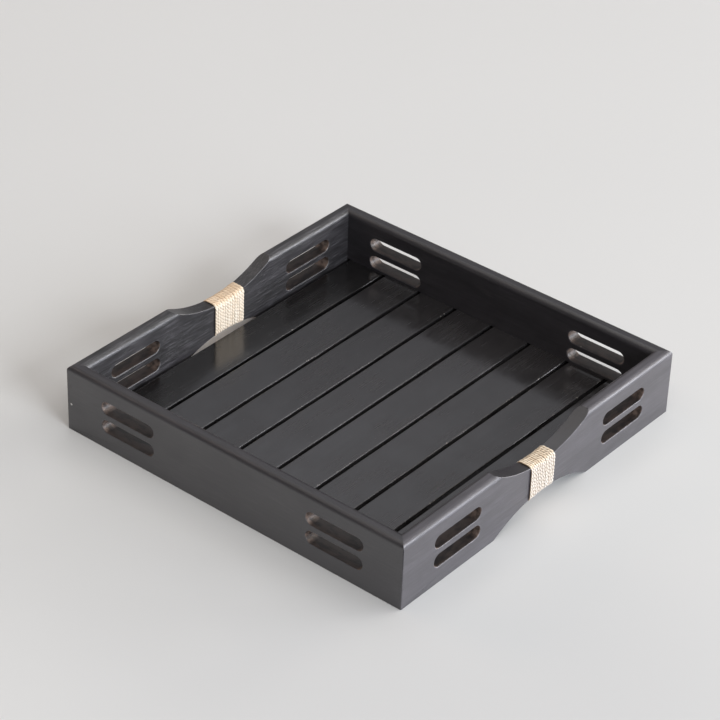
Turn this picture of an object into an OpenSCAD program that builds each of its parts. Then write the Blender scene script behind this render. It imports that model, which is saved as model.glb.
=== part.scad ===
// Square serving tray for tea. Four mitred wall boards carry a floor of spaced
// slats. Two opposite walls are waisted into grips, each wound with cane.
// Frame: origin at the centre of the footprint on the table, +Z up,
// handle walls at -X and +X, plain walls at -Y and +Y. Millimetres.

/* [Tray] */
// Outer width, across the two handle walls
tray_w = 300; // [280:1:340]
// Outer depth, across the two plain walls
tray_d = 300; // [280:1:340]
// Height of the wall boards
wall_h = 52.5; // [48:0.5:60]
// Thickness of the wall boards
wall_t = 11; // [10:0.5:14]
// Radius of the round-over on both top edges of a wall
rim_r = 4; // [1:0.5:4.5]

/* [Handles] */
// Half length of the waist in a handle wall
waist_half = 52; // [48:1:56]
// How deep the waist curves in, from the top and from the bottom
waist_d = 14; // [10:0.5:15]
// Thickness of the cane winding
cane_t = 1; // [0.6:0.1:1.6]
// Lower end of the left winding along the handle
left_cane_y = -10.6; // [-16:0.1:-8]
// Length of the left winding along the handle
left_cane_w = 31; // [20:0.5:34]
// Lower end of the right winding along the handle
right_cane_y = -15.2; // [-18:0.1:-8]
// Length of the right winding along the handle
right_cane_w = 26.7; // [20:0.1:32]

/* [Wall slots] */
// End-to-end length of one slot
slot_l = 48.5; // [40:0.5:50]
// Width of one slot
slot_w = 10; // [7:0.5:11]
// Distance of a slot's centre from the middle of its wall
slot_x = 92.5; // [88:0.5:94]
// Height of the lower slot's centre
slot_z = 18.9; // [17.5:0.1:20]
// Distance between the lower and the upper slot's centres
slot_step = 15.3; // [13:0.1:16]
// Width of the eased edge around a slot
slot_ease = 0.5; // [0.2:0.1:0.8]

/* [Floor] */
// Height of the floor's top face above the table
floor_z = 11.3; // [10.5:0.1:11.8]
// Gap between slats, and between the end slats and the handle walls
slat_gap = 3; // [2:0.5:4]
// Thickness of a slat
slat_t = 5; // [4:0.5:5.5]
// How far a slat's end or a batten's end sits in its wall
tongue = 4; // [3:0.5:5]
// Width of an under batten
batten_w = 18; // [14:1:20]
// Thickness of an under batten
batten_t = 4.3; // [3:0.1:4.3]
// Distance of an under batten from the tray's middle
batten_y = 70; // [66:1:80]

/* [Fasteners] */
// Diameter of a slat screw's shank
screw_d = 2.5; // [2:0.1:3]
// Diameter of a slat screw's head
screw_head = 5; // [4:0.1:5.6]
// Diameter of a corner brad
brad_d = 1.6; // [1.2:0.1:2]
// Length of a corner brad
brad_l = 24; // [18:1:28]
// Height of the lower corner brad
brad_z = 22; // [12:1:24]
// Distance between the two brads of a corner
brad_step = 15; // [10:1:16]
// Distance of a brad from the outside of the handle wall
brad_in = 3.8; // [3:0.1:5]

/* [Hidden] */
// number of slats, one node each
slat_n = 8;
black = [0.16, 0.16, 0.17];
black_floor = [0.22, 0.21, 0.22];
cane = [0.92, 0.85, 0.70];
steel = [0.62, 0.62, 0.64];
inner_w = tray_w - 2 * wall_t;
inner_d = tray_d - 2 * wall_t;
slat_w = (inner_w - (slat_n + 1) * slat_gap) / slat_n;
slat_pitch = slat_w + slat_gap;
slat_z = floor_z - slat_t;
batten_z = slat_z - batten_t;
end_room = 0.5;
screw_l = batten_t + slat_t - 1.3;
head_h = (screw_head - screw_d) / 2;
// radius of the waist's arc, from its half length and its depth
waist_r = (waist_half * waist_half + waist_d * waist_d) / (2 * waist_d);

function slat_x(i) = (i - (slat_n + 1) / 2) * slat_pitch;

// ---- wall boards -------------------------------------------------------

// cross section of a wall: outside face at 0, inside face at wall_t
module wall_section() {
    square([wall_t, wall_h - rim_r]);
    translate([rim_r, 0]) square([wall_t - 2 * rim_r, wall_h]);
    for (x = [rim_r, wall_t - rim_r])
        translate([x, wall_h - rim_r]) circle(r = rim_r, $fn = 64);
}

// one board with mitred ends, lying at -Y of a frame "across" deep
module board(len, across) {
    intersection() {
        translate([-len / 2, -across / 2, 0])
            rotate([90, 0, 90]) linear_extrude(len) wall_section();
        translate([0, -across / 2, -1]) linear_extrude(wall_h + 2)
            polygon([[-len / 2, 0], [len / 2, 0],
                     [len / 2 - 2 * wall_t, 2 * wall_t], [-len / 2 + 2 * wall_t, 2 * wall_t]]);
    }
}

// round-ended slot through a wall, along Y from 0 to wall_t, with eased edges
module slot() {
    half = (slot_l - slot_w) / 2;
    translate([-half, -1, -slot_w / 2]) cube([2 * half, wall_t + 2, slot_w]);
    for (s = [-half, half]) {
        translate([s, wall_t + 1, 0]) rotate([90, 0, 0])
            cylinder(h = wall_t + 2, d = slot_w, $fn = 48);
        translate([s, slot_ease, 0]) rotate([90, 0, 0])
            cylinder(h = slot_ease, r1 = slot_w / 2, r2 = slot_w / 2 + slot_ease, $fn = 48);
        translate([s, wall_t, 0]) rotate([90, 0, 0])
            cylinder(h = slot_ease, r1 = slot_w / 2 + slot_ease, r2 = slot_w / 2, $fn = 48);
    }
    translate([-half, 0, 0]) rotate([90, 0, 90]) linear_extrude(2 * half) {
        polygon([[0, -slot_w / 2 - slot_ease], [slot_ease, -slot_w / 2],
                 [slot_ease, slot_w / 2], [0, slot_w / 2 + slot_ease]]);
        polygon([[wall_t, -slot_w / 2 - slot_ease], [wall_t - slot_ease, -slot_w / 2],
                 [wall_t - slot_ease, slot_w / 2], [wall_t, slot_w / 2 + slot_ease]]);
    }
}

module slots(across) {
    for (x = [-slot_x, slot_x], z = [slot_z, slot_z + slot_step])
        translate([x, -across / 2, z]) slot();
}

// the two arcs that waist a handle, along X, at radius r about their centres
module waist_arcs(r) {
    for (z = [waist_d - waist_r, wall_h - waist_d + waist_r])
        translate([-tray_w, 0, z]) rotate([0, 90, 0])
            cylinder(h = 2 * tray_w, r = r, $fn = 240);
}

// brad bodies at all corners
module brads(extra) {
    for (sx = [-1, 1], sy = [-1, 1], z = [brad_z, brad_z + brad_step])
        translate([sx * (tray_w / 2 - brad_in), sy * tray_d / 2, z])
            rotate([sy * 90, 0, 0]) {
                cylinder(h = brad_l, d = brad_d + extra, $fn = 24);
                translate([0, 0, -0.01 * extra]) cylinder(h = 0.8, d = brad_d * 1.4 + extra, $fn = 24);
            }
}

module plain_wall() {
    difference() {
        board(tray_w, tray_d);
        slots(tray_d);
        // groove for the slats' ends
        translate([-inner_w / 2, -inner_d / 2 - tongue - end_room, slat_z])
            cube([inner_w, tongue + end_room + 1, slat_t]);
        brads(0);
    }
}

module handle_wall() {
    difference() {
        rotate([0, 0, 90]) {
            difference() {
                board(tray_d, tray_w);
                slots(tray_w);
            }
        }
        waist_arcs(waist_r);
        // sockets for the battens' ends
        for (s = [-1, 1])
            translate([inner_w / 2 - 1, s * batten_y - batten_w / 2, batten_z])
                cube([tongue + end_room + 1, batten_w, batten_t]);
        brads(0);
    }
}

module front_wall() { color(black) plain_wall(); }
module back_wall() { color(black) rotate([0, 0, 180]) plain_wall(); }
module right_handle_wall() { color(black) handle_wall(); }
module left_handle_wall() { color(black) rotate([0, 0, 180]) handle_wall(); }

// ---- floor -------------------------------------------------------------

// slat number i, with a pilot hole for each screw
module slat(i) {
    difference() {
        translate([slat_x(i) - slat_w / 2, -inner_d / 2 - tongue, slat_z])
            cube([slat_w, inner_d + 2 * tongue, slat_t]);
        for (s = [-1, 1])
            translate([slat_x(i), s * batten_y, slat_z - 1])
                cylinder(h = screw_l - batten_t + 1, d = screw_d, $fn = 32);
    }
}

module slat_1() { color(black_floor) slat(1); }
module slat_2() { color(black_floor) slat(2); }
module slat_3() { color(black_floor) slat(3); }
module slat_4() { color(black_floor) slat(4); }
module slat_5() { color(black_floor) slat(5); }
module slat_6() { color(black_floor) slat(6); }
module slat_7() { color(black_floor) slat(7); }
module slat_8() { color(black_floor) slat(8); }

// batten under the slats, countersunk from below
module batten(s) {
    difference() {
        translate([-inner_w / 2 - tongue, s * batten_y - batten_w / 2, batten_z])
            cube([inner_w + 2 * tongue, batten_w, batten_t]);
        for (i = [1 : slat_n]) translate([slat_x(i), s * batten_y, batten_z]) {
            translate([0, 0, -1]) cylinder(h = batten_t + 2, d = screw_d, $fn = 32);
            cylinder(h = head_h, d1 = screw_head, d2 = screw_d, $fn = 32);
        }
    }
}

module front_batten() { color(black_floor) batten(-1); }
module back_batten() { color(black_floor) batten(1); }

// one countersunk screw with a cross recess, pointing up from its head
module screw() {
    difference() {
        union() {
            cylinder(h = head_h, d1 = screw_head, d2 = screw_d, $fn = 32);
            cylinder(h = screw_l - 1.2, d = screw_d, $fn = 32);
            translate([0, 0, screw_l - 1.2])
                cylinder(h = 1.2, d1 = screw_d, d2 = 0.5, $fn = 32);
        }
        for (a = [0, 90]) rotate([0, 0, a])
            translate([-1.3, -0.3, -1]) cube([2.6, 0.6, 1.7]);
    }
}

module slat_screws() {
    color(steel) for (i = [1 : slat_n], s = [-1, 1])
        translate([slat_x(i), s * batten_y, batten_z]) screw();
}

module corner_brads() { color(steel) brads(0); }

// ---- cane bindings -----------------------------------------------------

// sleeve of wound cane around the waist of the handle on side s
module binding(s, y0, len) {
    x0 = s > 0 ? tray_w / 2 - wall_t : -tray_w / 2;
    difference() {
        translate([x0 - cane_t, y0, 1])
            cube([wall_t + 2 * cane_t, len, wall_h - 2]);
        waist_arcs(waist_r - cane_t);
        difference() {
            translate([x0, y0 - 1, 0]) cube([wall_t, len + 2, wall_h]);
            waist_arcs(waist_r);
        }
    }
}

module left_binding() { color(cane) binding(-1, left_cane_y, left_cane_w); }
module right_binding() { color(cane) binding(1, right_cane_y, right_cane_w); }

front_wall();
back_wall();
left_handle_wall();
right_handle_wall();
slat_1();
slat_2();
slat_3();
slat_4();
slat_5();
slat_6();
slat_7();
slat_8();
front_batten();
back_batten();
slat_screws();
corner_brads();
left_binding();
right_binding();
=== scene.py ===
import math
import random

import bmesh
import bpy
import numpy as np
from mathutils import Matrix, Vector


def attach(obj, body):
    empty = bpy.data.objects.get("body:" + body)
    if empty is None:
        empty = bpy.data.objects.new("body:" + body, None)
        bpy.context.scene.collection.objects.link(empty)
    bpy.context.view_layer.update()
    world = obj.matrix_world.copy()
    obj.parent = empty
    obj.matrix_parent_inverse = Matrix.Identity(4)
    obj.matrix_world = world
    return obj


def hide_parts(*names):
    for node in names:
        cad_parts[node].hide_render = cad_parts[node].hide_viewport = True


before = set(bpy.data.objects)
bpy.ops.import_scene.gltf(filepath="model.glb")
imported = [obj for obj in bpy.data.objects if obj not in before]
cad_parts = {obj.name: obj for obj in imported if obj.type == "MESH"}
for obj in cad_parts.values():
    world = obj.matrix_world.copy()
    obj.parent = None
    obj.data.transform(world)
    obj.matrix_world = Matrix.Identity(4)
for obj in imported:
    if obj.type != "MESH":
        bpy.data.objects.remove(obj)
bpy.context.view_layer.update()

# ---- sizes of the frame, in metres (the same as the CAD part's) ----------
MM = 0.001
HALF = 150 * MM          # half of the outer width and depth
WALL_H = 52.5 * MM
WALL_T = 11 * MM
RIM_R = 4 * MM
WAIST_HALF = 52 * MM
WAIST_D = 14 * MM
WAIST_R = (WAIST_HALF ** 2 + WAIST_D ** 2) / (2 * WAIST_D)
SLOT_L, SLOT_W = 48.5 * MM, 10 * MM
SLOT_X, SLOT_Z, SLOT_STEP = 92.5 * MM, 18.9 * MM, 15.3 * MM
FLOOR_Z, SLAT_T, SLAT_GAP, SLAT_N = 11.3 * MM, 5 * MM, 3 * MM, 8
TONGUE, END_ROOM = 4 * MM, 0.5 * MM
BATTEN_W, BATTEN_T, BATTEN_Y = 18 * MM, 4.3 * MM, 70 * MM
SCREW_D, SCREW_HEAD = 2.5 * MM, 5 * MM
BRAD_D, BRAD_IN = 1.6 * MM, 3.8 * MM
BRAD_Z = (22 * MM, 37 * MM)
INNER = HALF - WALL_T
SLAT_W = (2 * INNER - (SLAT_N + 1) * SLAT_GAP) / SLAT_N
SLAT_Z = FLOOR_Z - SLAT_T
BATTEN_Z = SLAT_Z - BATTEN_T


# ---- small mesh helpers --------------------------------------------------
def new_object(name, verts, faces):
    me = bpy.data.meshes.new(name)
    me.from_pydata([tuple(v) for v in verts], [], faces)
    me.validate()
    ob = bpy.data.objects.new(name, me)
    bpy.context.scene.collection.objects.link(ob)
    return ob


def clean_normals(ob):
    bm = bmesh.new()
    bm.from_mesh(ob.data)
    bmesh.ops.recalc_face_normals(bm, faces=bm.faces)
    bm.to_mesh(ob.data)
    bm.free()


def prism(points, axis_a, axis_b, axis_n, lo, hi):
    """Closed prism over a 2-D outline, from lo to hi along axis_n."""
    n = len(points)
    verts, faces = [], []
    for h in (lo, hi):
        for a, b in points:
            verts.append(axis_a * a + axis_b * b + axis_n * h)
    faces.append(tuple(range(n)))
    faces.append(tuple(range(2 * n - 1, n - 1, -1)))
    for i in range(n):
        j = (i + 1) % n
        faces.append((i, j, n + j, n + i))
    return verts, faces


def join_parts(name, parts):
    verts, faces = [], []
    for v, f in parts:
        o = len(verts)
        verts += list(v)
        faces += [tuple(i + o for i in q) for q in f]
    ob = new_object(name, verts, faces)
    clean_normals(ob)
    return ob


def apply_modifiers(ob):
    bpy.context.view_layer.update()
    dg = bpy.context.evaluated_depsgraph_get()
    me = bpy.data.meshes.new_from_object(ob.evaluated_get(dg), depsgraph=dg)
    old = ob.data
    ob.modifiers.clear()
    ob.data = me
    me.name = ob.name
    bpy.data.meshes.remove(old)


def boolean(ob, cutter, operation):
    m = ob.modifiers.new("cut", "BOOLEAN")
    m.operation = operation
    m.solver = "EXACT"
    m.object = cutter
    apply_modifiers(ob)
    bpy.data.objects.remove(cutter)


X, Y, Z = Vector((1, 0, 0)), Vector((0, 1, 0)), Vector((0, 0, 1))


def ease_edges(ob, width, segments, keep):
    """Rounds every sharp edge that keep() doesn't hold back, and marks the rounded faces in a corner attribute."""
    bm = bmesh.new()
    bm.from_mesh(ob.data)
    bmesh.ops.remove_doubles(bm, verts=bm.verts, dist=0.004 * MM)
    bmesh.ops.dissolve_degenerate(bm, edges=bm.edges, dist=0.004 * MM)
    bm.normal_update()
    weight = bm.edges.layers.float.get("bevel_weight_edge") or bm.edges.layers.float.new("bevel_weight_edge")
    for e in bm.edges:
        e[weight] = 0.0
        if len(e.link_faces) == 2 and e.calc_face_angle(0.0) > math.radians(21):
            e[weight] = keep(e.verts[0].co, e.verts[1].co)
    for f in bm.faces:
        f.smooth = True
        f.material_index = 0
    bm.to_mesh(ob.data)
    bm.free()
    ob.data.materials.clear()
    ob.data.materials.append(None)
    ob.data.materials.append(None)
    m = ob.modifiers.new("ease", "BEVEL")
    m.limit_method = "WEIGHT"
    m.width = width
    m.segments = segments
    m.profile = 0.5
    m.use_clamp_overlap = False
    m.material = 1
    m.miter_outer = "MITER_SHARP"
    apply_modifiers(ob)
    me = ob.data
    idx = np.zeros(len(me.polygons), np.int32)
    me.polygons.foreach_get("material_index", idx)
    total = np.zeros(len(me.polygons), np.int32)
    me.polygons.foreach_get("loop_total", total)
    edge = np.repeat((idx == 1).astype(np.float32), total)
    a = me.attributes.new("eased", "FLOAT", "CORNER")
    a.data.foreach_set("value", edge)
    me.polygons.foreach_set("material_index", np.zeros(len(me.polygons), np.int32))
    me.materials.clear()
    return idx == 1


def exact_normals(ob, eased, surface):
    """Corner normals from the true surfaces: surface(centre, normal) gives a function of the place, or None for a flat face.
    A rounded edge takes the normals of the faces that it joins."""
    me = ob.data
    base, soft = {}, {}
    funcs = []
    for p in me.polygons:
        f = None
        if not eased[p.index]:
            f = surface(p.center, p.normal)
            for v in p.vertices:
                base.setdefault(v, []).append(f(me.vertices[v].co) if f else p.normal.copy())
        else:
            for v in p.vertices:
                soft[v] = soft.get(v, Vector((0, 0, 0))) + p.normal * p.area
        funcs.append(f)
    out = []
    for p in me.polygons:
        f = funcs[p.index]
        for v in p.vertices:
            if not eased[p.index]:
                n = f(me.vertices[v].co) if f else p.normal
            elif v in base:
                near = [b for b in base[v] if b.dot(p.normal) > 0.25] or base[v]
                n = Vector((0, 0, 0))
                for b in near:
                    n = n + b
            else:
                n = soft[v]
            n = n.normalized() if n.length > 1e-9 else p.normal
            out.append((n.x, n.y, n.z))
    return np.array(out, np.float32)


def set_normals(ob, normals, turn=0.0):
    a = math.radians(turn)
    c, s = math.cos(a), math.sin(a)
    r = np.stack([normals[:, 0] * c - normals[:, 1] * s, normals[:, 0] * s + normals[:, 1] * c, normals[:, 2]], 1)
    ob.data.normals_split_custom_set([tuple(v) for v in r])


def local_places(ob, offset):
    """The board's own coordinates, along, through and up, for its grain."""
    me = ob.data
    co = np.zeros(len(me.vertices) * 3, np.float32)
    me.vertices.foreach_get("co", co)
    co = co.reshape(-1, 3) + np.array(offset, np.float32)
    a = me.attributes.new("board", "FLOAT_VECTOR", "POINT")
    a.data.foreach_set("vector", co.ravel())


# ---- wall boards ---------------------------------------------------------
def rim_levels(n=10):
    return [(RIM_R * (1 - math.cos(math.pi / 2 * k / n)), WALL_H - RIM_R + RIM_R * math.sin(math.pi / 2 * k / n)) for k in range(n + 1)]


def board_mesh(name):
    """A mitred board along X whose outer face is at -Y."""
    outer = rim_levels()                                   # outer round-over, from low to high
    section = [(0.0, 0.0)] + outer + [(WALL_T - t, z) for t, z in reversed(outer)] + [(WALL_T, 0.0)]
    verts, faces = [], []
    for s in (-1, 1):
        for t, z in section:
            verts.append((s * (HALF - t), -HALF + t, z))
    n = len(section)
    faces.append(tuple(range(n)))
    faces.append(tuple(range(2 * n - 1, n - 1, -1)))
    for i in range(n):
        j = (i + 1) % n
        faces.append((i, j, n + j, n + i))
    ob = new_object(name, verts, faces)
    clean_normals(ob)
    return ob


def slot_cutter(x, z):
    half, r = (SLOT_L - SLOT_W) / 2, SLOT_W / 2
    pts = [(half + r * math.sin(a), -r * math.cos(a)) for a in np.linspace(0, math.pi, 15)]
    pts += [(-half - r * math.sin(a), r * math.cos(a)) for a in np.linspace(0, math.pi, 15)]
    return prism([(x + a, z + b) for a, b in pts], X, Z, Y, -HALF - 3 * MM, -INNER + 3 * MM)


def waist_cutters():
    """The two arcs, with a corner at each level of the round-over so that they meet it cleanly."""
    up = WALL_H - WAIST_D + WAIST_R
    ys = [math.sqrt(WAIST_R ** 2 - (up - z) ** 2) for _, z in rim_levels()]
    inner = list(np.linspace(0, ys[0], 20))[:-1]
    out = sorted(set([round(v, 9) for v in inner + ys + [ys[-1] + 3 * MM]]))
    xs = [-v for v in reversed(out[1:])] + out
    top = [(x, up - math.sqrt(WAIST_R ** 2 - x * x)) for x in xs] + [(xs[-1], 0.09), (xs[0], 0.09)]
    low = WAIST_D - WAIST_R
    xs2 = list(np.linspace(-WAIST_HALF - 3 * MM, WAIST_HALF + 3 * MM, 47))
    bot = [(x, low + math.sqrt(WAIST_R ** 2 - x * x)) for x in xs2] + [(xs2[-1], -0.03), (xs2[0], -0.03)]
    lo, hi = -HALF - 3 * MM, -INNER + 3 * MM
    return [prism(top, X, Z, Y, lo, hi), prism(bot, X, Z, Y, lo, hi)]


def cuboid(x0, x1, y0, y1, z0, z1):
    return prism([(x0, y0), (x1, y0), (x1, y1), (x0, y1)], X, Y, Z, z0, z1)


def corner_keeper(r):
    """Upright prism with the tray's outline, its four corners rounded by r."""
    pts = []
    for cx, cy, a0 in ((1, -1, -90), (1, 1, 0), (-1, 1, 90), (-1, -1, 180)):
        for k in range(7):
            a = math.radians(a0 + 15 * k)
            pts.append((cx * (HALF - r) + r * math.cos(a), cy * (HALF - r) + r * math.sin(a)))
    return prism(pts, X, Y, Z, -0.01, 0.08)


def slot_ends(ob):
    """Marks the insides of the slots, which get painted shade, and most of all their round ends, where the router cut
    across the grain and the stain is thin.
    """
    me = ob.data
    half = (SLOT_L - SLOT_W) / 2
    vals, deep = [], []
    for p in me.polygons:
        c = p.center
        inside = (-HALF + 0.3 * MM < c.y < -INNER - 0.3 * MM and abs(abs(c.x) - SLOT_X) < SLOT_L / 2 + 0.6 * MM
                  and any(abs(c.z - z) < SLOT_W / 2 + 0.6 * MM for z in (SLOT_Z, SLOT_Z + SLOT_STEP)))
        p.material_index = 1 if inside else 0
        for v in p.vertices:
            e = (abs(abs(me.vertices[v].co.x) - SLOT_X) - half + 1.0 * MM) / (4.0 * MM)
            vals.append(min(1.0, max(0.0, e)) if inside else 0.0)
            deep.append(1.0 if inside else 0.0)
    me.attributes.new("slot_end", "FLOAT", "CORNER").data.foreach_set("value", vals)
    me.attributes.new("slot_in", "FLOAT", "CORNER").data.foreach_set("value", deep)
    # the tops of the waist arcs, marked for painted shade on the right handle
    arc = []
    for p in me.polygons:
        on = abs(p.normal.y) < 0.3 and p.normal.z > 0.5 and abs(p.center.x) < WAIST_HALF and WALL_H - WAIST_D - MM < p.center.z < WALL_H - 0.02 * MM
        arc += [1.0 if on else 0.0] * p.loop_total
    me.attributes.new("cut_arc", "FLOAT", "CORNER").data.foreach_set("value", arc)


def wall_board(name, node, turn, handle, offset):
    ob = board_mesh(name)
    boolean(ob, join_parts("keeper", [corner_keeper(0.8 * MM)]), "INTERSECT")
    cuts = [slot_cutter(s * SLOT_X, z) for s in (-1, 1) for z in (SLOT_Z, SLOT_Z + SLOT_STEP)]
    if handle:
        cuts += waist_cutters()
        for s in (-1, 1):
            cuts.append(cuboid(s * BATTEN_Y - BATTEN_W / 2, s * BATTEN_Y + BATTEN_W / 2,
                               -INNER - TONGUE - END_ROOM, -INNER + MM, BATTEN_Z, BATTEN_Z + BATTEN_T))
    else:
        cuts.append(cuboid(-INNER, INNER, -INNER - TONGUE - END_ROOM, -INNER + MM, SLAT_Z, FLOOR_Z))
        for s in (-1, 1):
            for z in BRAD_Z:
                ring = [(s * (HALF - BRAD_IN) + 1.12 * MM * math.cos(a), z + 1.12 * MM * math.sin(a))
                        for a in np.linspace(0, 2 * math.pi, 25)[:-1]]
                cuts.append(prism(ring, X, Z, Y, -HALF - MM, -HALF + 0.8 * MM))
    boolean(ob, join_parts("cutter", cuts), "DIFFERENCE")

    def keep(a, b):
        def on_mitre(v):
            return abs(abs(v.x) + v.y) < 0.01 * MM
        def inside(v):                                     # in the groove, a socket or a nail hole
            return (v.y > -INNER - TONGUE - MM and v.y < -INNER - 0.05 * MM and v.z < FLOOR_Z + 0.02 * MM and v.z > 0.5 * MM
                    and abs(v.x) < (INNER + 0.2 * MM) and (not handle or abs(abs(v.x) - BATTEN_Y) < BATTEN_W / 2 + 0.1 * MM))
        def groove_mouth(v):
            low, high = (BATTEN_Z, BATTEN_Z + BATTEN_T) if handle else (SLAT_Z, FLOOR_Z)
            return abs(v.y + INNER) < 0.02 * MM and low - 0.02 * MM < v.z < high + 0.02 * MM
        def in_slot(v):
            return abs(abs(v.x) - SLOT_X) < SLOT_L / 2 + 0.1 * MM and any(abs(v.z - z) < SLOT_W / 2 + 0.1 * MM for z in (SLOT_Z, SLOT_Z + SLOT_STEP))
        def nail(v):
            return min(math.hypot(abs(v.x) - (HALF - BRAD_IN), v.z - z) for z in BRAD_Z) < 1.4 * MM
        if on_mitre(a) and on_mitre(b):
            return 0.0
        if inside(a) or inside(b) or (groove_mouth(a) and groove_mouth(b)):
            return 0.0
        if not handle and nail(a) and nail(b):
            return 0.0
        return 1.0 if in_slot(a) and in_slot(b) else 0.45

    def surface(c, n):
        """The curved surface that a face lies on, as a function from a place to its normal."""
        rim_z = WALL_H - RIM_R
        if abs(n.x) < 0.02 and c.z > rim_z and 0.02 < abs(n.y) and 0.02 < n.z:
            yc = -HALF + RIM_R if n.y < 0 else -INNER - RIM_R
            return lambda p: Vector((0, p.y - yc, max(0.0, p.z - rim_z))).normalized()
        if handle and abs(n.y) < 0.02 and abs(c.x) < WAIST_HALF + 0.5 * MM and abs(n.z) > 0.5:
            zc = WALL_H - WAIST_D + WAIST_R if n.z > 0 else WAIST_D - WAIST_R
            s = -1 if n.z > 0 else 1
            return lambda p: (Vector((p.x, 0, p.z - zc)) * s).normalized()
        half = (SLOT_L - SLOT_W) / 2
        if abs(n.y) < 0.02 and abs(abs(c.x) - SLOT_X) > half - 0.01 * MM and abs(abs(c.x) - SLOT_X) < SLOT_L / 2:
            for z in (SLOT_Z, SLOT_Z + SLOT_STEP):
                if abs(c.z - z) < SLOT_W / 2:
                    sx = 1 if c.x > 0 else -1
                    xc = sx * SLOT_X + (half if abs(c.x) > SLOT_X else -half) * sx
                    return lambda p: Vector((xc - p.x, 0, z - p.z)).normalized()
        if abs(n.z) < 0.02 and abs(c.x) > HALF - 0.85 * MM and c.y < -HALF + 0.85 * MM:
            sx = 1 if c.x > 0 else -1
            return lambda p: Vector((p.x - sx * (HALF - 0.8 * MM), p.y + HALF - 0.8 * MM, 0)).normalized()
        return None

    eased = ease_edges(ob, 0.90 * MM, 4, keep)
    normals = exact_normals(ob, eased, surface)
    slot_ends(ob)
    local_places(ob, offset)
    ob.data.transform(Matrix.Rotation(math.radians(turn), 4, "Z"))
    set_normals(ob, normals, turn)
    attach(ob, "root")
    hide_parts(node)
    return ob


# ---- slats and battens ---------------------------------------------------
def eased_section(w, z0, z1, r_top, r_low, n=4):
    pts = []
    for cx, cz, r, a0 in ((w / 2, z0, r_low, -90), (w / 2, z1, r_top, 0), (-w / 2, z1, r_top, 90), (-w / 2, z0, r_low, 180)):
        sx, sz = (1 if cx > 0 else -1), (1 if cz == z1 else -1)
        for k in range(n + 1):
            a = math.radians(a0 + 90 * k / n)
            pts.append((cx - sx * r + r * math.cos(a), cz - sz * r + r * math.sin(a)))
    return pts


def slat_board(i, rng):
    """One slat along Y, its top edges eased, with the slight waves that hand-planed edges have."""
    xc = (i - (SLAT_N + 1) / 2) * (SLAT_W + SLAT_GAP)
    r = 0.75 * MM
    sec = eased_section(SLAT_W, SLAT_Z, FLOOR_Z, r, 0.4 * MM)
    n = len(sec)
    ys = [-INNER - TONGUE] + list(np.linspace(-INNER - 1 * MM, INNER + 1 * MM, 47)) + [INNER + TONGUE]
    ph = [rng.uniform(0, 6.28) for _ in range(6)]
    verts, faces = [], []
    for y in ys:
        fade = max(0.0, min(1.0, (INNER - abs(y)) / (12 * MM)))
        side = [fade * (0.07 * MM * math.sin(y * 37 + ph[0]) + 0.04 * MM * math.sin(y * 91 + ph[1])),
                fade * (0.07 * MM * math.sin(y * 41 + ph[2]) + 0.04 * MM * math.sin(y * 83 + ph[3]))]
        for px, pz in sec:
            dx = side[0] if px > 0 else side[1]
            lift = -0.05 * MM * fade * (0.5 + 0.5 * math.sin(y * 29 + ph[4])) if pz > FLOOR_Z - r - 1e-6 else 0.0
            verts.append((xc + px + dx, y, pz + lift))
    faces.append(tuple(range(n)))
    faces.append(tuple(reversed(range((len(ys) - 1) * n, len(ys) * n))))
    for k in range(len(ys) - 1):
        for a in range(n):
            b = (a + 1) % n
            faces.append((k * n + b, k * n + a, (k + 1) * n + a, (k + 1) * n + b))
    ob = new_object(f"floor_slat_{i}", verts, faces)
    me = ob.data
    me.polygons.foreach_set("use_smooth", [True] * len(me.polygons))
    # the section's own normals, and which faces belong to the rounded top edges
    ring = [(math.cos(math.radians(a0 + 90 * k / 4)), math.sin(math.radians(a0 + 90 * k / 4))) for a0 in (-90, 0, 90, 180) for k in range(5)]
    normals, vals = [], []
    for p in me.polygons:
        end = p.loop_total > 4
        edge = 1.0 if (not end and p.normal.z > 0.03 and p.normal.z < 0.99) else 0.0
        for v in p.vertices:
            normals.append((0, -1 if p.center.y < 0 else 1, 0) if end else (ring[v % n][0], 0, ring[v % n][1]))
            vals.append(edge)
    me.normals_split_custom_set(normals)
    me.attributes.new("eased", "FLOAT", "CORNER").data.foreach_set("value", vals)
    co = np.zeros(len(me.vertices) * 3, np.float32)
    me.vertices.foreach_get("co", co)
    co = co.reshape(-1, 3)[:, [1, 0, 2]]
    shift = np.array([0.37 * i, 0.113 * i - xc, 0.21 * i], np.float32)
    me.attributes.new("board", "FLOAT_VECTOR", "POINT").data.foreach_set("vector", (co + shift).ravel())
    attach(ob, "root")
    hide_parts(f"slat_{i}")
    return ob


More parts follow.
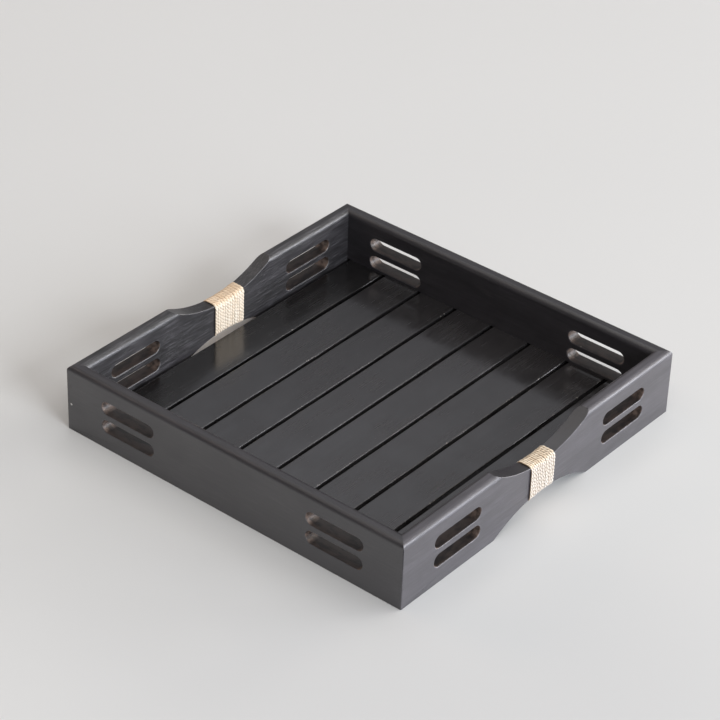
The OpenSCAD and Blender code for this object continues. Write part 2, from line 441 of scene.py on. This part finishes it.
def batten_board(name, node, s):
    """One under batten along X, countersunk from below for its eight screws."""
    sec = [(-BATTEN_W / 2, BATTEN_Z), (BATTEN_W / 2, BATTEN_Z), (BATTEN_W / 2, BATTEN_Z + BATTEN_T), (-BATTEN_W / 2, BATTEN_Z + BATTEN_T)]
    v, f = prism(sec, Y, Z, X, -INNER - TONGUE, INNER + TONGUE)
    ob = new_object(name, v, f)
    clean_normals(ob)
    cuts = []
    head = (SCREW_HEAD - SCREW_D) / 2
    for i in range(1, SLAT_N + 1):
        xc = (i - (SLAT_N + 1) / 2) * (SLAT_W + SLAT_GAP)
        levels = [(BATTEN_Z - MM, SCREW_HEAD / 2 + MM), (BATTEN_Z + head, SCREW_D / 2), (BATTEN_Z + BATTEN_T + MM, SCREW_D / 2)]
        vv, ff, n = [], [], 32
        for z, r in levels:
            vv += [Vector((xc + r * math.cos(2 * math.pi * k / n), r * math.sin(2 * math.pi * k / n), z)) for k in range(n)]
        ff.append(tuple(reversed(range(n))))
        ff.append(tuple(range(2 * n, 3 * n)))
        for q in (0, 1):
            ff += [(q * n + k, q * n + (k + 1) % n, (q + 1) * n + (k + 1) % n, (q + 1) * n + k) for k in range(n)]
        cuts.append((vv, ff))
    boolean(ob, join_parts("cutter", cuts), "DIFFERENCE")

    def keep(a, b):
        return 1.0 if abs(a.z - BATTEN_Z) < 0.01 * MM and abs(b.z - BATTEN_Z) < 0.01 * MM and abs(abs(a.y) - BATTEN_W / 2) < 0.01 * MM \
            and abs(abs(b.y) - BATTEN_W / 2) < 0.01 * MM else 0.0

    ease_edges(ob, 0.5 * MM, 3, keep)
    me = ob.data
    me.set_sharp_from_angle(angle=math.radians(40))
    local_places(ob, (0.9 * s, 0.3 + 0.2 * s, 0.4))
    me.transform(Matrix.Translation((0, s * BATTEN_Y, 0)))
    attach(ob, "root")
    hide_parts(node)
    return ob


# ---- cane windings -------------------------------------------------------
CANE_A = 0.62 * MM          # half thickness of a strand
CANE_OFF = 0.84 * MM        # the strand's middle line off the wood
CANE_BEND = 3.60 * MM       # how tightly that line turns at the handle's edges
CANE_TWIST = 5.6 * MM       # length in which the two plies of a strand turn once round each other
CANE_PLY = 0.24             # how far the plies stand out of the strand


def ring_point(f, side, y, g, r):
    """Point and outward direction at the fraction f of the way round the handle's section at y, g off the wood."""
    top = WALL_H - WAIST_D + WAIST_R - math.sqrt(WAIST_R ** 2 - y * y) + g
    low = WAIST_D - WAIST_R + math.sqrt(WAIST_R ** 2 - y * y) - g
    hx = WALL_T / 2 + g
    xc = side * (HALF - WALL_T / 2)
    a, b = hx - r, (top - low) / 2 - r
    zc = (top + low) / 2
    q = math.pi * r / 2
    lengths = [a, q, 2 * b, q, 2 * a, q, 2 * b, q, a]
    per = sum(lengths)
    d = (f % 1.0) * per
    k = 0
    while k < 8 and d > lengths[k]:
        d -= lengths[k]
        k += 1
    t = d / r if r > 0 else 0
    if k == 0:
        p, n = (d, -b - r), (0, -1)
    elif k == 1:
        p, n = (a + r * math.sin(t), -b - r * math.cos(t)), (math.sin(t), -math.cos(t))
    elif k == 2:
        p, n = (a + r, -b + d), (1, 0)
    elif k == 3:
        p, n = (a + r * math.cos(t), b + r * math.sin(t)), (math.cos(t), math.sin(t))
    elif k == 4:
        p, n = (a - d, b + r), (0, 1)
    elif k == 5:
        p, n = (-a - r * math.sin(t), b + r * math.cos(t)), (-math.sin(t), math.cos(t))
    elif k == 6:
        p, n = (-a - r, b - d), (-1, 0)
    elif k == 7:
        p, n = (-a - r * math.cos(t), -b - r * math.sin(t)), (-math.cos(t), -math.sin(t))
    else:
        p, n = (-a + d, -b - r), (0, -1)
    tilt = -y / WAIST_R * n[1] * (1 if n[1] > 0 else -1) * abs(n[1])
    nn = Vector((n[0] * 1.0, tilt, n[1])).normalized()
    return Vector((xc + p[0], y, zc + p[1])), nn, per


def winding(name, node, side, y0, length, turns, seed, fill):
    """One long two-ply strand of cane grass wound round the handle from end to end, each turn a little its own."""
    rng = random.Random(seed)
    per_turn = 160
    step = length / (turns + 0.10)
    half = step * 0.5
    ya = y0 + half
    jit = [rng.uniform(-0.10, 0.10) * MM for _ in range(turns + 2)]
    bow = [rng.uniform(-0.13, 0.13) * MM for _ in range(turns + 2)]
    fat = [rng.uniform(0.94, 1.05) for _ in range(turns + 2)]
    lift = [rng.uniform(0.0, 0.10) * MM for _ in range(turns + 2)]
    thick = [rng.uniform(0.86, 1.0) for _ in range(turns + 2)]
    total = turns * per_turn
    pts, nrm, wide, high, arc = [], [], [], [], [0.0]
    for j in range(total + 1):
        u = j / per_turn
        k = min(int(u), turns - 1)
        f = u - k
        # a turn runs nearly square round the handle and steps over to the next one along the bottom
        over = 0.0 if f < 0.86 else (f - 0.86) / 0.14
        over = over * over * (3 - 2 * over)
        y = ya + step * (k + 0.22 * f + 0.78 * over) - 0.11 * step
        y += (1 - f) * jit[k] + f * jit[k + 1]
        y += bow[k] * math.sin(2 * math.pi * f) + 0.04 * MM * math.sin(2 * math.pi * 3 * f + 2.3 * k)
        y = min(max(y, y0 + half * 0.9), y0 + length - half * 0.9)
        up = ((1 - f) * lift[k] + f * lift[k + 1]) * (0.6 + 0.4 * math.sin(2 * math.pi * f + k))
        p, n, per = ring_point(f + 0.02, side, y, CANE_OFF + up, CANE_BEND + up)
        pts.append(p)
        nrm.append(n)
        wide.append(half * fill * ((1 - f) * fat[k] + f * fat[k + 1]))
        high.append(CANE_A * ((1 - f) * thick[k] + f * thick[k + 1]))
        if j:
            arc.append(arc[-1] + (pts[-1] - pts[-2]).length)
    verts, faces, fib, tone, deep, flank, crown = [], [], [], [], [], [], []
    ring = 16
    for j in range(total + 1):
        t = (pts[min(total, j + 1)] - pts[max(0, j - 1)]).normalized()
        n = (nrm[j] - t * nrm[j].dot(t)).normalized()
        lat = t.cross(n)
        u = j / per_turn
        k = min(int(u), turns - 1)
        psi = 2 * math.pi * arc[j] / CANE_TWIST + 0.5 * math.sin(arc[j] * 140 + seed) + 0.3 * math.sin(arc[j] * 417)
        end = min(1.0, 0.45 + 0.55 * min(j, total - j) / 8.0)
        for q in range(ring):
            th = 2 * math.pi * q / ring
            c, sn = math.cos(th), math.sin(th)
            ply = math.cos(2 * (th - psi))
            lobe = 1 + CANE_PLY * ply - CANE_PLY * 0.5 * max(0.0, -ply) + 0.03 * math.cos(3 * th + 0.4 * psi)
            x = c * wide[j] * (1 + 0.35 * (lobe - 1))
            h = sn * high[j] * (lobe if sn > 0 else 1.0)
            verts.append(pts[j] + lat * (x * end) + n * (h * end))
            fib.append((arc[j], math.cos(th - 0.5 * psi), math.sin(th - 0.5 * psi)))
            tone.append(u)
            deep.append(max(0.0, -ply))
            flank.append(abs(c) if sn > 0 else 1.0)
            crown.append(min(1.0, max(0.0, (nrm[j].z - 0.35) / 0.5)))
    for j in range(total):
        for q in range(ring):
            r = (q + 1) % ring
            faces.append((j * ring + q, j * ring + r, (j + 1) * ring + r, (j + 1) * ring + q))
    faces.append(tuple(reversed(range(ring))))
    faces.append(tuple(total * ring + q for q in range(ring)))
    ob = new_object(name, verts, faces)
    clean_normals(ob)
    me = ob.data
    me.polygons.foreach_set("use_smooth", [True] * len(me.polygons))
    me.attributes.new("fibre", "FLOAT_VECTOR", "POINT").data.foreach_set("vector", np.array(fib, np.float32).ravel())
    me.attributes.new("turn", "FLOAT", "POINT").data.foreach_set("value", np.array(tone, np.float32))
    me.attributes.new("between", "FLOAT", "POINT").data.foreach_set("value", np.array(deep, np.float32))
    me.attributes.new("flank", "FLOAT", "POINT").data.foreach_set("value", np.array(flank, np.float32))
    me.attributes.new("crown", "FLOAT", "POINT").data.foreach_set("value", np.array(crown, np.float32))
    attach(ob, "root")
    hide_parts(node)
    return ob


# ---- materials -----------------------------------------------------------
class Nodes:
    def __init__(self, name):
        self.mat = bpy.data.materials.new(name)
        self.mat.use_nodes = True
        self.t = self.mat.node_tree
        self.t.nodes.clear()
        self.out = self.t.nodes.new("ShaderNodeOutputMaterial")
        self.bsdf = self.t.nodes.new("ShaderNodeBsdfPrincipled")
        self.t.links.new(self.bsdf.outputs["BSDF"], self.out.inputs["Surface"])

    def node(self, kind, **props):
        n = self.t.nodes.new(kind)
        for k, v in props.items():
            setattr(n, k, v)
        return n

    def link(self, a, b):
        self.t.links.new(a, b)

    def attr(self, name, out="Vector"):
        n = self.node("ShaderNodeAttribute", attribute_name=name, attribute_type="GEOMETRY")
        return n.outputs[out]

    def scaled(self, vec, scale):
        n = self.node("ShaderNodeVectorMath", operation="MULTIPLY")
        self.link(vec, n.inputs[0])
        n.inputs[1].default_value = scale
        return n.outputs[0]

    def noise(self, vec, scale=1.0, detail=2.0, rough=0.5, lac=2.0, distort=0.0):
        n = self.node("ShaderNodeTexNoise", noise_dimensions="3D")
        self.link(vec, n.inputs["Vector"])
        n.inputs["Scale"].default_value = scale
        n.inputs["Detail"].default_value = detail
        n.inputs["Roughness"].default_value = rough
        n.inputs["Lacunarity"].default_value = lac
        n.inputs["Distortion"].default_value = distort
        return n.outputs["Fac"]

    def ramp(self, fac, a, b, lo=0.0, hi=1.0):
        n = self.node("ShaderNodeMapRange", interpolation_type="SMOOTHSTEP", clamp=True)
        self.link(fac, n.inputs["Value"])
        n.inputs["From Min"].default_value = a
        n.inputs["From Max"].default_value = b
        n.inputs["To Min"].default_value = lo
        n.inputs["To Max"].default_value = hi
        return n.outputs["Result"]

    def math(self, op, a, b=None):
        n = self.node("ShaderNodeMath", operation=op)
        for i, v in enumerate((a, b)):
            if v is None:
                continue
            if isinstance(v, (int, float)):
                n.inputs[i].default_value = v
            else:
                self.link(v, n.inputs[i])
        return n.outputs[0]

    def mix(self, fac, a, b):
        n = self.node("ShaderNodeMix", data_type="RGBA", blend_type="MIX")
        if isinstance(fac, (int, float)):
            n.inputs[0].default_value = fac
        else:
            self.link(fac, n.inputs[0])
        for s, v in ((6, a), (7, b)):
            if isinstance(v, tuple):
                n.inputs[s].default_value = (*v, 1.0)
            else:
                self.link(v, n.inputs[s])
        return n.outputs[2]

    def bump(self, height, distance, strength=1.0, normal=None):
        n = self.node("ShaderNodeBump")
        n.inputs["Strength"].default_value = strength
        n.inputs["Distance"].default_value = distance
        self.link(height, n.inputs["Height"])
        if normal is not None:
            self.link(normal, n.inputs["Normal"])
        return n.outputs["Normal"]

    def set(self, name, value):
        self.bsdf.inputs[name].default_value = value

    def to(self, name, socket):
        self.link(socket, self.bsdf.inputs[name])


def black_wood(name, dark, light, rough, streak, pores, rub_and_highlight=1.0, chips=0.6, ior=1.5, relief=0.55, lines=0.3, scoop_top_shade=0.0):
    """Black-stained wood under a thin satin coat: long streaks, open pores, smudges, paler edges that are partly worn
    and partly a painted highlight, painted shade inside the slots and, where asked, painted shade on the tops of the
    waist arcs.
    """
    m = Nodes(name)
    p = m.attr("board")
    broad = m.noise(m.scaled(p, (7, 60, 60)), detail=3, rough=0.55, distort=0.6)
    fine = m.noise(m.scaled(p, (22, 620, 620)), detail=4, rough=0.62)
    hair = m.noise(m.scaled(p, (70, 2600, 2600)), detail=2, rough=0.6)
    smudge = m.noise(m.scaled(p, (28, 28, 28)), detail=3, rough=0.6)
    speck = m.noise(m.scaled(p, (900, 900, 900)), detail=1, rough=0.5)
    grain = m.math("ADD", m.math("MULTIPLY", broad, 0.45), m.math("MULTIPLY", fine, 0.55))
    tone = m.ramp(grain, 0.36, 0.66)
    mid = tuple(d + (l - d) * streak for d, l in zip(dark, light))
    col = m.mix(tone, dark, mid)
    string = m.noise(m.scaled(p, (55, 830, 830)), detail=3, rough=0.6)
    col = m.mix(m.math("MULTIPLY", m.ramp(string, 0.48, 0.34), 0.8 * lines), col, tuple(c * 0.45 for c in dark))
    col = m.mix(m.math("MULTIPLY", m.ramp(string, 0.54, 0.68), lines), col, tuple(c * 1.5 for c in light))
    line = m.ramp(hair, 0.63, 0.72)
    col = m.mix(m.math("MULTIPLY", line, 0.35 * streak + 0.05), col, light)
    # paler edges: partly real rubbing of the stain, partly a painted highlight along the eased edges
    edge = m.attr("eased", "Fac")
    edge_patches = m.ramp(m.noise(m.scaled(p, (240, 240, 240)), detail=3, rough=0.65), 0.46, 0.66)
    wear_and_highlight = m.math("MULTIPLY", edge, m.math("ADD", m.math("MULTIPLY", edge_patches, 0.65 * rub_and_highlight), 0.12 * rub_and_highlight))
    col = m.mix(wear_and_highlight, col, tuple(min(1.0, c * 2.4 + 0.02) for c in light))
    # painted shade: darkens the tops of the waist arcs, which the handle's bright base colour would otherwise make too
    # light
    if scoop_top_shade:
        col = m.mix(m.math("MULTIPLY", m.attr("cut_arc", "Fac"), scoop_top_shade), col, tuple(c * 0.25 for c in dark))
    # painted shade darkens the insides of the slots; thin brown stain at the slots' round ends
    col = m.mix(m.math("MULTIPLY", m.attr("slot_in", "Fac"), 0.92), col, tuple(c * 0.25 for c in dark))
    bare = m.math("MULTIPLY", m.attr("slot_end", "Fac"), m.ramp(m.noise(m.scaled(p, (110, 260, 260)), detail=3, rough=0.6), 0.36, 0.60, 0.25, 1.0))
    col = m.mix(bare, col, (0.170, 0.122, 0.100))
    # paler chips here and there along the edges
    place = m.ramp(m.noise(m.scaled(p, (16, 9, 9)), detail=1), 0.55, 0.63)
    crumb = m.ramp(m.noise(m.scaled(p, (520, 520, 520)), detail=2, rough=0.5), 0.63, 0.68)
    col = m.mix(m.math("MULTIPLY", m.math("MULTIPLY", place, crumb), m.math("MULTIPLY", edge, chips)), col, (0.34, 0.31, 0.28))
    # fine dust
    dust = m.ramp(speck, 0.76, 0.80)
    col = m.mix(m.math("MULTIPLY", dust, 0.16), col, (0.30, 0.29, 0.28))
    m.to("Base Color", col)
    r = m.ramp(smudge, 0.3, 0.7, rough - 0.05, rough + 0.06)
    r = m.math("ADD", r, m.math("MULTIPLY", m.ramp(fine, 0.4, 0.7), 0.07))
    r = m.math("ADD", r, m.math("MULTIPLY", wear_and_highlight, 0.10))
    m.to("Roughness", r)
    pore = m.ramp(hair, 0.30, 0.42)
    h = m.math("ADD", m.math("MULTIPLY", pore, pores), m.math("MULTIPLY", fine, 0.6))
    h = m.math("ADD", h, m.math("MULTIPLY", m.noise(m.scaled(p, (60, 60, 60)), detail=2), 1.2))
    m.to("Normal", m.bump(h, 0.045 * MM, relief))
    m.set("IOR", ior)
    m.set("Specular IOR Level", 0.5)
    return m.mat


def cane_fibre(name, gain, tint_rgb=(1.0, 1.0, 1.0), gap_shade=0.85, ply=0.70, crown_light_tint=(1.0, 1.0, 1.0)):
    """Pale cane grass: fine fibres along each ply, colour that drifts from turn to turn, painted shade between the
    plies and down the strands' flanks, and a painted tint of light on the upward-facing tops.
    """
    m = Nodes(name)
    p = m.attr("fibre")
    turn = m.attr("turn", "Fac")
    between = m.attr("between", "Fac")
    comb = m.node("ShaderNodeCombineXYZ")
    m.link(turn, comb.inputs[0])
    drift = m.noise(comb.outputs[0], scale=2.3, detail=2)
    strand = m.noise(m.scaled(p, (110, 2.2, 2.2)), detail=4, rough=0.65)
    thin = m.noise(m.scaled(p, (170, 9.0, 9.0)), detail=3, rough=0.7)
    fleck = m.noise(m.scaled(p, (620, 2.4, 2.4)), detail=2, rough=0.6)
    col = m.mix(m.ramp(drift, 0.35, 0.65), (0.78, 0.66, 0.51), (0.84, 0.76, 0.64))
    col = m.mix(m.math("MULTIPLY", m.ramp(strand, 0.42, 0.68), 0.6), col, (0.88, 0.83, 0.75))
    col = m.mix(m.math("MULTIPLY", m.ramp(thin, 0.50, 0.32, 0, 1), 0.30), col, (0.50, 0.37, 0.23))
    # painted shade in the crevices between the two plies, its strength set by ply
    col = m.mix(m.math("MULTIPLY", m.ramp(between, 0.30, 0.95), ply), col, (0.36, 0.26, 0.165))
    col = m.mix(m.math("MULTIPLY", m.ramp(fleck, 0.68, 0.76), 0.45), col, (0.30, 0.22, 0.14))
    # painted shade down the flanks and undersides of the strands, in the gaps between turns
    col = m.mix(m.math("MULTIPLY", m.ramp(m.attr("flank", "Fac"), 0.62, 0.93), gap_shade), col, (0.26, 0.165, 0.095))
    # painted light: the upward-facing tops of the winding get their own tint, lighter and warmer on the right winding
    # and darker on the left, for how the light falls on them
    tint = m.node("ShaderNodeMix", data_type="RGBA", blend_type="MULTIPLY")
    tint.inputs[0].default_value = 1.0
    m.link(col, tint.inputs[6])
    here = m.mix(m.attr("crown", "Fac"), tuple(gain * c for c in tint_rgb), tuple(gain * c * t for c, t in zip(tint_rgb, crown_light_tint)))
    m.link(here, tint.inputs[7])
    m.to("Base Color", tint.outputs[2])
    m.to("Roughness", m.ramp(strand, 0.3, 0.7, 0.52, 0.36))
    h = m.math("ADD", m.math("MULTIPLY", strand, 0.5), m.math("MULTIPLY", thin, 0.6))
    m.to("Normal", m.bump(h, 0.09 * MM, 0.8))
    m.set("Sheen Weight", 0.15)
    m.set("Sheen Roughness", 0.4)
    return m.mat


def zinc(name):
    """Zinc-plated steel screw: cool grey with a faint turning pattern and dull spots."""
    m = Nodes(name)
    tc = m.node("ShaderNodeTexCoord")
    p = tc.outputs["Object"]
    spot = m.noise(m.scaled(p, (900, 900, 900)), detail=3, rough=0.6)
    line = m.noise(m.scaled(p, (300, 300, 5200)), detail=2)
    m.to("Base Color", m.mix(m.ramp(spot, 0.35, 0.7), (0.42, 0.42, 0.43), (0.60, 0.60, 0.62)))
    m.to("Roughness", m.ramp(spot, 0.3, 0.7, 0.26, 0.48))
    m.set("Metallic", 1.0)
    m.to("Normal", m.bump(line, 0.02 * MM, 0.4))
    return m.mat


def nail_paint(name, dark):
    """Nail heads under the black stain, one of them chipped to pale filler."""
    m = Nodes(name)
    tc = m.node("ShaderNodeTexCoord")
    p = tc.outputs["Object"]
    n = m.noise(m.scaled(p, (1500, 1500, 1500)), detail=3, rough=0.6)
    d = m.node("ShaderNodeVectorMath", operation="DISTANCE")
    m.link(p, d.inputs[0])
    d.inputs[1].default_value = (-(HALF - BRAD_IN), -HALF, BRAD_Z[0])
    chip = m.ramp(m.math("ADD", m.math("MULTIPLY", d.outputs["Value"], 1000.0), m.math("MULTIPLY", n, 0.9)), 1.5, 1.2, 0, 1)
    col = m.mix(m.ramp(n, 0.35, 0.65), dark, tuple(c * 1.9 for c in dark))
    m.to("Base Color", m.mix(chip, col, (0.62, 0.60, 0.58)))
    m.to("Roughness", m.ramp(n, 0.3, 0.7, 0.42, 0.56))
    m.to("Normal", m.bump(n, 0.02 * MM, 0.3))
    m.set("IOR", 1.92)
    return m.mat


def floor_paint(name):
    """Pale, faintly mottled table top, with a darker patch to the front right of the tray that is painted shade."""
    m = Nodes(name)
    tc = m.node("ShaderNodeTexCoord")
    p = tc.outputs["Object"]
    big = m.noise(m.scaled(p, (1.3, 1.3, 1.3)), detail=2)
    small = m.noise(m.scaled(p, (90, 90, 90)), detail=3, rough=0.6)
    col = m.mix(m.ramp(big, 0.3, 0.7), (0.78, 0.775, 0.77), (0.80, 0.795, 0.79))
    # painted shade: a darker patch on the table to the front right of the tray
    d = m.node("ShaderNodeVectorMath", operation="DISTANCE")
    m.link(p, d.inputs[0])
    d.inputs[1].default_value = (0.25, -0.20, 0.0)
    m.to("Base Color", m.mix(m.ramp(d.outputs["Value"], 0.08, 0.34, 0.60, 0.0), col, (0.66, 0.66, 0.668)))
    m.to("Roughness", m.ramp(small, 0.3, 0.7, 0.55, 0.65))
    m.to("Normal", m.bump(small, 0.05 * MM, 0.15))
    m.set("Specular IOR Level", 0.3)
    return m.mat


# The two handle walls are lit and shaded copies of one black wood: the right one has a brighter base colour as painted
# light where the light from the right falls, the left one a darker base colour as painted shade.
RIGHT_HANDLE_LIT_MAT = black_wood("right_handle_black", (0.0480, 0.0437, 0.0505), (0.0930, 0.0850, 0.0985), 0.35, 0.70, 0.9, 0.6, 0.5, 1.92, 0.60, 0.22, 0.65)
LEFT_HANDLE_SHADED_MAT = black_wood("left_handle_black", (0.0085, 0.0078, 0.0086), (0.0580, 0.0535, 0.0590), 0.36, 0.80, 1.3, 0.6, 0.8, 1.92, 0.95, 0.9)
WALL_MAT = black_wood("plain_wall_black", (0.0172, 0.0152, 0.0180), (0.0385, 0.0338, 0.0400), 0.35, 0.60, 0.9, 0.6, 0.5, 1.90, 0.50, 0.25)
# slot insides: darkened by the slot_in mark, as painted shade in the recesses
HANDLE_SLOT_MAT = black_wood("handle_slot_inside", (0.0300, 0.0275, 0.0310), (0.0600, 0.0550, 0.0620), 0.45, 0.70, 0.9, 0.6, 0.5, 1.48, 0.60, 0.5)
WALL_SLOT_MAT = black_wood("plain_slot_inside", (0.0300, 0.0270, 0.0290), (0.0560, 0.0490, 0.0540), 0.40, 0.60, 0.9, 0.6, 0.5, 1.62, 0.60, 0.5)
# each floor board took the stain a little differently; the first board, beside the left handle wall, is made much
# darker as painted shade
SLAT_STAIN_AND_SHADE_TONES = (0.35, 0.70, 0.74, 0.80, 0.86, 0.82, 0.82, 0.76)
SLAT_GLOSS = (1.70, 1.86, 1.87, 1.94, 1.95, 1.95, 1.95, 1.96)
SLAT_MATS = [black_wood(f"floor_black_{i + 1}", (0.0255 * t, 0.0234 * t, 0.0247 * t), (0.0420 * t, 0.0380 * t, 0.0402 * t), 0.20, 0.40, 0.3, 0.10, 1.0, g, 0.18, 0.30)
             for i, (t, g) in enumerate(zip(SLAT_STAIN_AND_SHADE_TONES, SLAT_GLOSS))]
BATTEN_MAT = black_wood("batten_black", (0.022, 0.021, 0.021), (0.060, 0.056, 0.052), 0.55, 0.9, 1.2)
# The two windings are lit and shaded copies of one cane: the left has a higher gain as painted light, the right a
# bluish tint standing in for the cool light on it, and each its own strength of painted shade between strands.
LEFT_CANE_MAT = cane_fibre("wound_cane_left", 1.15, (1.03, 1.0, 0.98), 0.34, 0.30, (0.90, 0.80, 0.70))
RIGHT_CANE_MAT = cane_fibre("wound_cane_right", 1.05, (0.98, 1.0, 1.08), 0.85, 0.70, (1.15, 1.07, 0.93))
ZINC_MAT = zinc("zinc_plate")
NAIL_MAT = nail_paint("nail_black", (0.0170, 0.0148, 0.0162))

# ---- build ---------------------------------------------------------------
rng = random.Random(11)
walls = [
    wall_board("front_wall_board", "front_wall", 0, False, (0.0, 0.31, 0.13)),
    wall_board("right_handle_board", "right_handle_wall", 90, True, (1.7, 0.77, 0.55)),
    wall_board("back_wall_board", "back_wall", 180, False, (3.1, 1.23, 0.91)),
    wall_board("left_handle_board", "left_handle_wall", 270, True, (4.9, 1.91, 1.37)),
]
slats = [slat_board(i, rng) for i in range(1, SLAT_N + 1)]
battens = [batten_board("front_under_batten", "front_batten", -1), batten_board("back_under_batten", "back_batten", 1)]
windings = [
    winding("left_cane_winding", "left_binding", -1, -10.6 * MM, 31 * MM, 12, 5, 1.03),
    winding("right_cane_winding", "right_binding", 1, -15.2 * MM, 26.7 * MM, 13, 8, 0.93),
]
for ob, mat, slot_mat in zip(walls, (WALL_MAT, RIGHT_HANDLE_LIT_MAT, WALL_MAT, LEFT_HANDLE_SHADED_MAT), (WALL_SLOT_MAT, HANDLE_SLOT_MAT, WALL_SLOT_MAT, HANDLE_SLOT_MAT)):
    ob.data.materials.append(mat)
    ob.data.materials.append(slot_mat)
for ob, mat in zip(slats, SLAT_MATS):
    ob.data.materials.append(mat)
for ob in battens:
    ob.data.materials.append(BATTEN_MAT)
for ob, mat in zip(windings, (LEFT_CANE_MAT, RIGHT_CANE_MAT)):
    ob.data.materials.append(mat)
for node, mat in (("slat_screws", ZINC_MAT), ("corner_brads", NAIL_MAT)):
    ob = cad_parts[node]
    if not ob.material_slots:
        ob.data.materials.append(mat)
    for s in ob.material_slots:
        s.material = mat

# ---- table, light and camera ----------------------------------------------
def ground():
    n, half = 24, 6.0
    verts = [((2 * i / n - 1) * half, (2 * j / n - 1) * half, 0.0) for j in range(n + 1) for i in range(n + 1)]
    faces = [(j * (n + 1) + i, j * (n + 1) + i + 1, (j + 1) * (n + 1) + i + 1, (j + 1) * (n + 1) + i) for j in range(n) for i in range(n)]
    ob = new_object("studio_table", verts, faces)
    ob.data.materials.append(floor_paint("table_pale"))


ground()


def area_light(name, azimuth, elevation, distance, width, height, power, color=(1, 1, 1)):
    """Soft box that looks at the tray from azimuth (degrees from +X towards +Y) and elevation."""
    a, e = math.radians(azimuth), math.radians(elevation)
    d = Vector((math.cos(a) * math.cos(e), math.sin(a) * math.cos(e), math.sin(e)))
    li = bpy.data.lights.new(name, "AREA")
    li.shape = "RECTANGLE"
    li.size, li.size_y = width, height
    li.energy = power
    li.color = color
    ob = bpy.data.objects.new(name, li)
    bpy.context.scene.collection.objects.link(ob)
    ob.location = d * distance
    ob.rotation_euler = d.to_track_quat("Z", "Y").to_euler()
    return ob


# name, azimuth, elevation, distance, width, height, power, colour
SOFT_BOXES = [
    ("right_low_a", -10, 12, 5.0, 2.2, 1.4, 52.0, (0.92, 1.01, 1.12)),
    ("right_low_b", 20, 12, 5.0, 2.2, 1.4, 52.0, (0.94, 1.0, 1.12)),
    ("right_high", -10, 28, 9.0, 4.0, 2.5, 352.0, (0.96, 1.01, 1.05)),
    ("back_low_a", 50, 12, 5.0, 2.2, 1.4, 81.0, (0.99, 1.0, 1.07)),
    ("back_low_b", 78, 12, 5.0, 2.2, 1.4, 64.0, (1.03, 1.0, 0.92)),
    ("back_mid", 58, 28, 5.0, 2.2, 1.4, 15.0, (1.05, 1.0, 0.90)),
    ("right_top", 40, 48, 5.0, 3.0, 2.6, 14.0, (1.0, 1.0, 1.0)),
    ("back_high", 120, 48, 5.0, 3.0, 2.6, 10.0, (0.98, 1.0, 1.08)),
    ("top", 0, 88, 6.0, 8.0, 8.0, 146.0, (1.03, 1.0, 0.95)),
    ("front_high", -60, 50, 5.0, 3.0, 2.6, 16.0, (1.02, 1.0, 0.88)),
    ("left_fill", 190, 26, 5.0, 2.2, 1.4, 14.0, (1.35, 0.92, 0.68)),
]
for box in SOFT_BOXES:
    area_light(*box)

world = bpy.data.worlds.new("studio_air")
bpy.context.scene.world = world
world.use_nodes = True
bg = world.node_tree.nodes["Background"]
bg.inputs["Color"].default_value = (0.50, 0.49, 0.50, 1)
bg.inputs["Strength"].default_value = 0.26

AZ, EL, ROLL, FPX = math.radians(38.7386), math.radians(34.1679), math.radians(2.0557), 2758.83
back = Vector((math.sin(AZ) * math.cos(EL), -math.cos(AZ) * math.cos(EL), math.sin(EL)))
right0 = Vector((math.cos(AZ), math.sin(AZ), 0))
up0 = back.cross(right0)
right = right0 * math.cos(ROLL) + up0 * math.sin(ROLL)
up = up0 * math.cos(ROLL) - right0 * math.sin(ROLL)
cam_data = bpy.data.cameras.new("photo_camera")
cam_data.sensor_width = 36.0
cam_data.sensor_fit = "HORIZONTAL"
cam_data.lens = FPX * 36.0 / 720.0
cam_data.shift_x = -0.5 / 720
cam_data.shift_y = 0.5 / 720
cam_data.clip_start = 0.05
cam_data.clip_end = 50
cam = bpy.data.objects.new("photo_camera", cam_data)
bpy.context.scene.collection.objects.link(cam)
cam.matrix_world = Matrix((
    (right.x, up.x, back.x, 0.98748),
    (right.y, up.y, back.y, -1.24446),
    (right.z, up.z, back.z, 1.12833),
    (0, 0, 0, 1)))
bpy.context.scene.camera = cam
bpy.context.scene.view_settings.view_transform = "Standard"
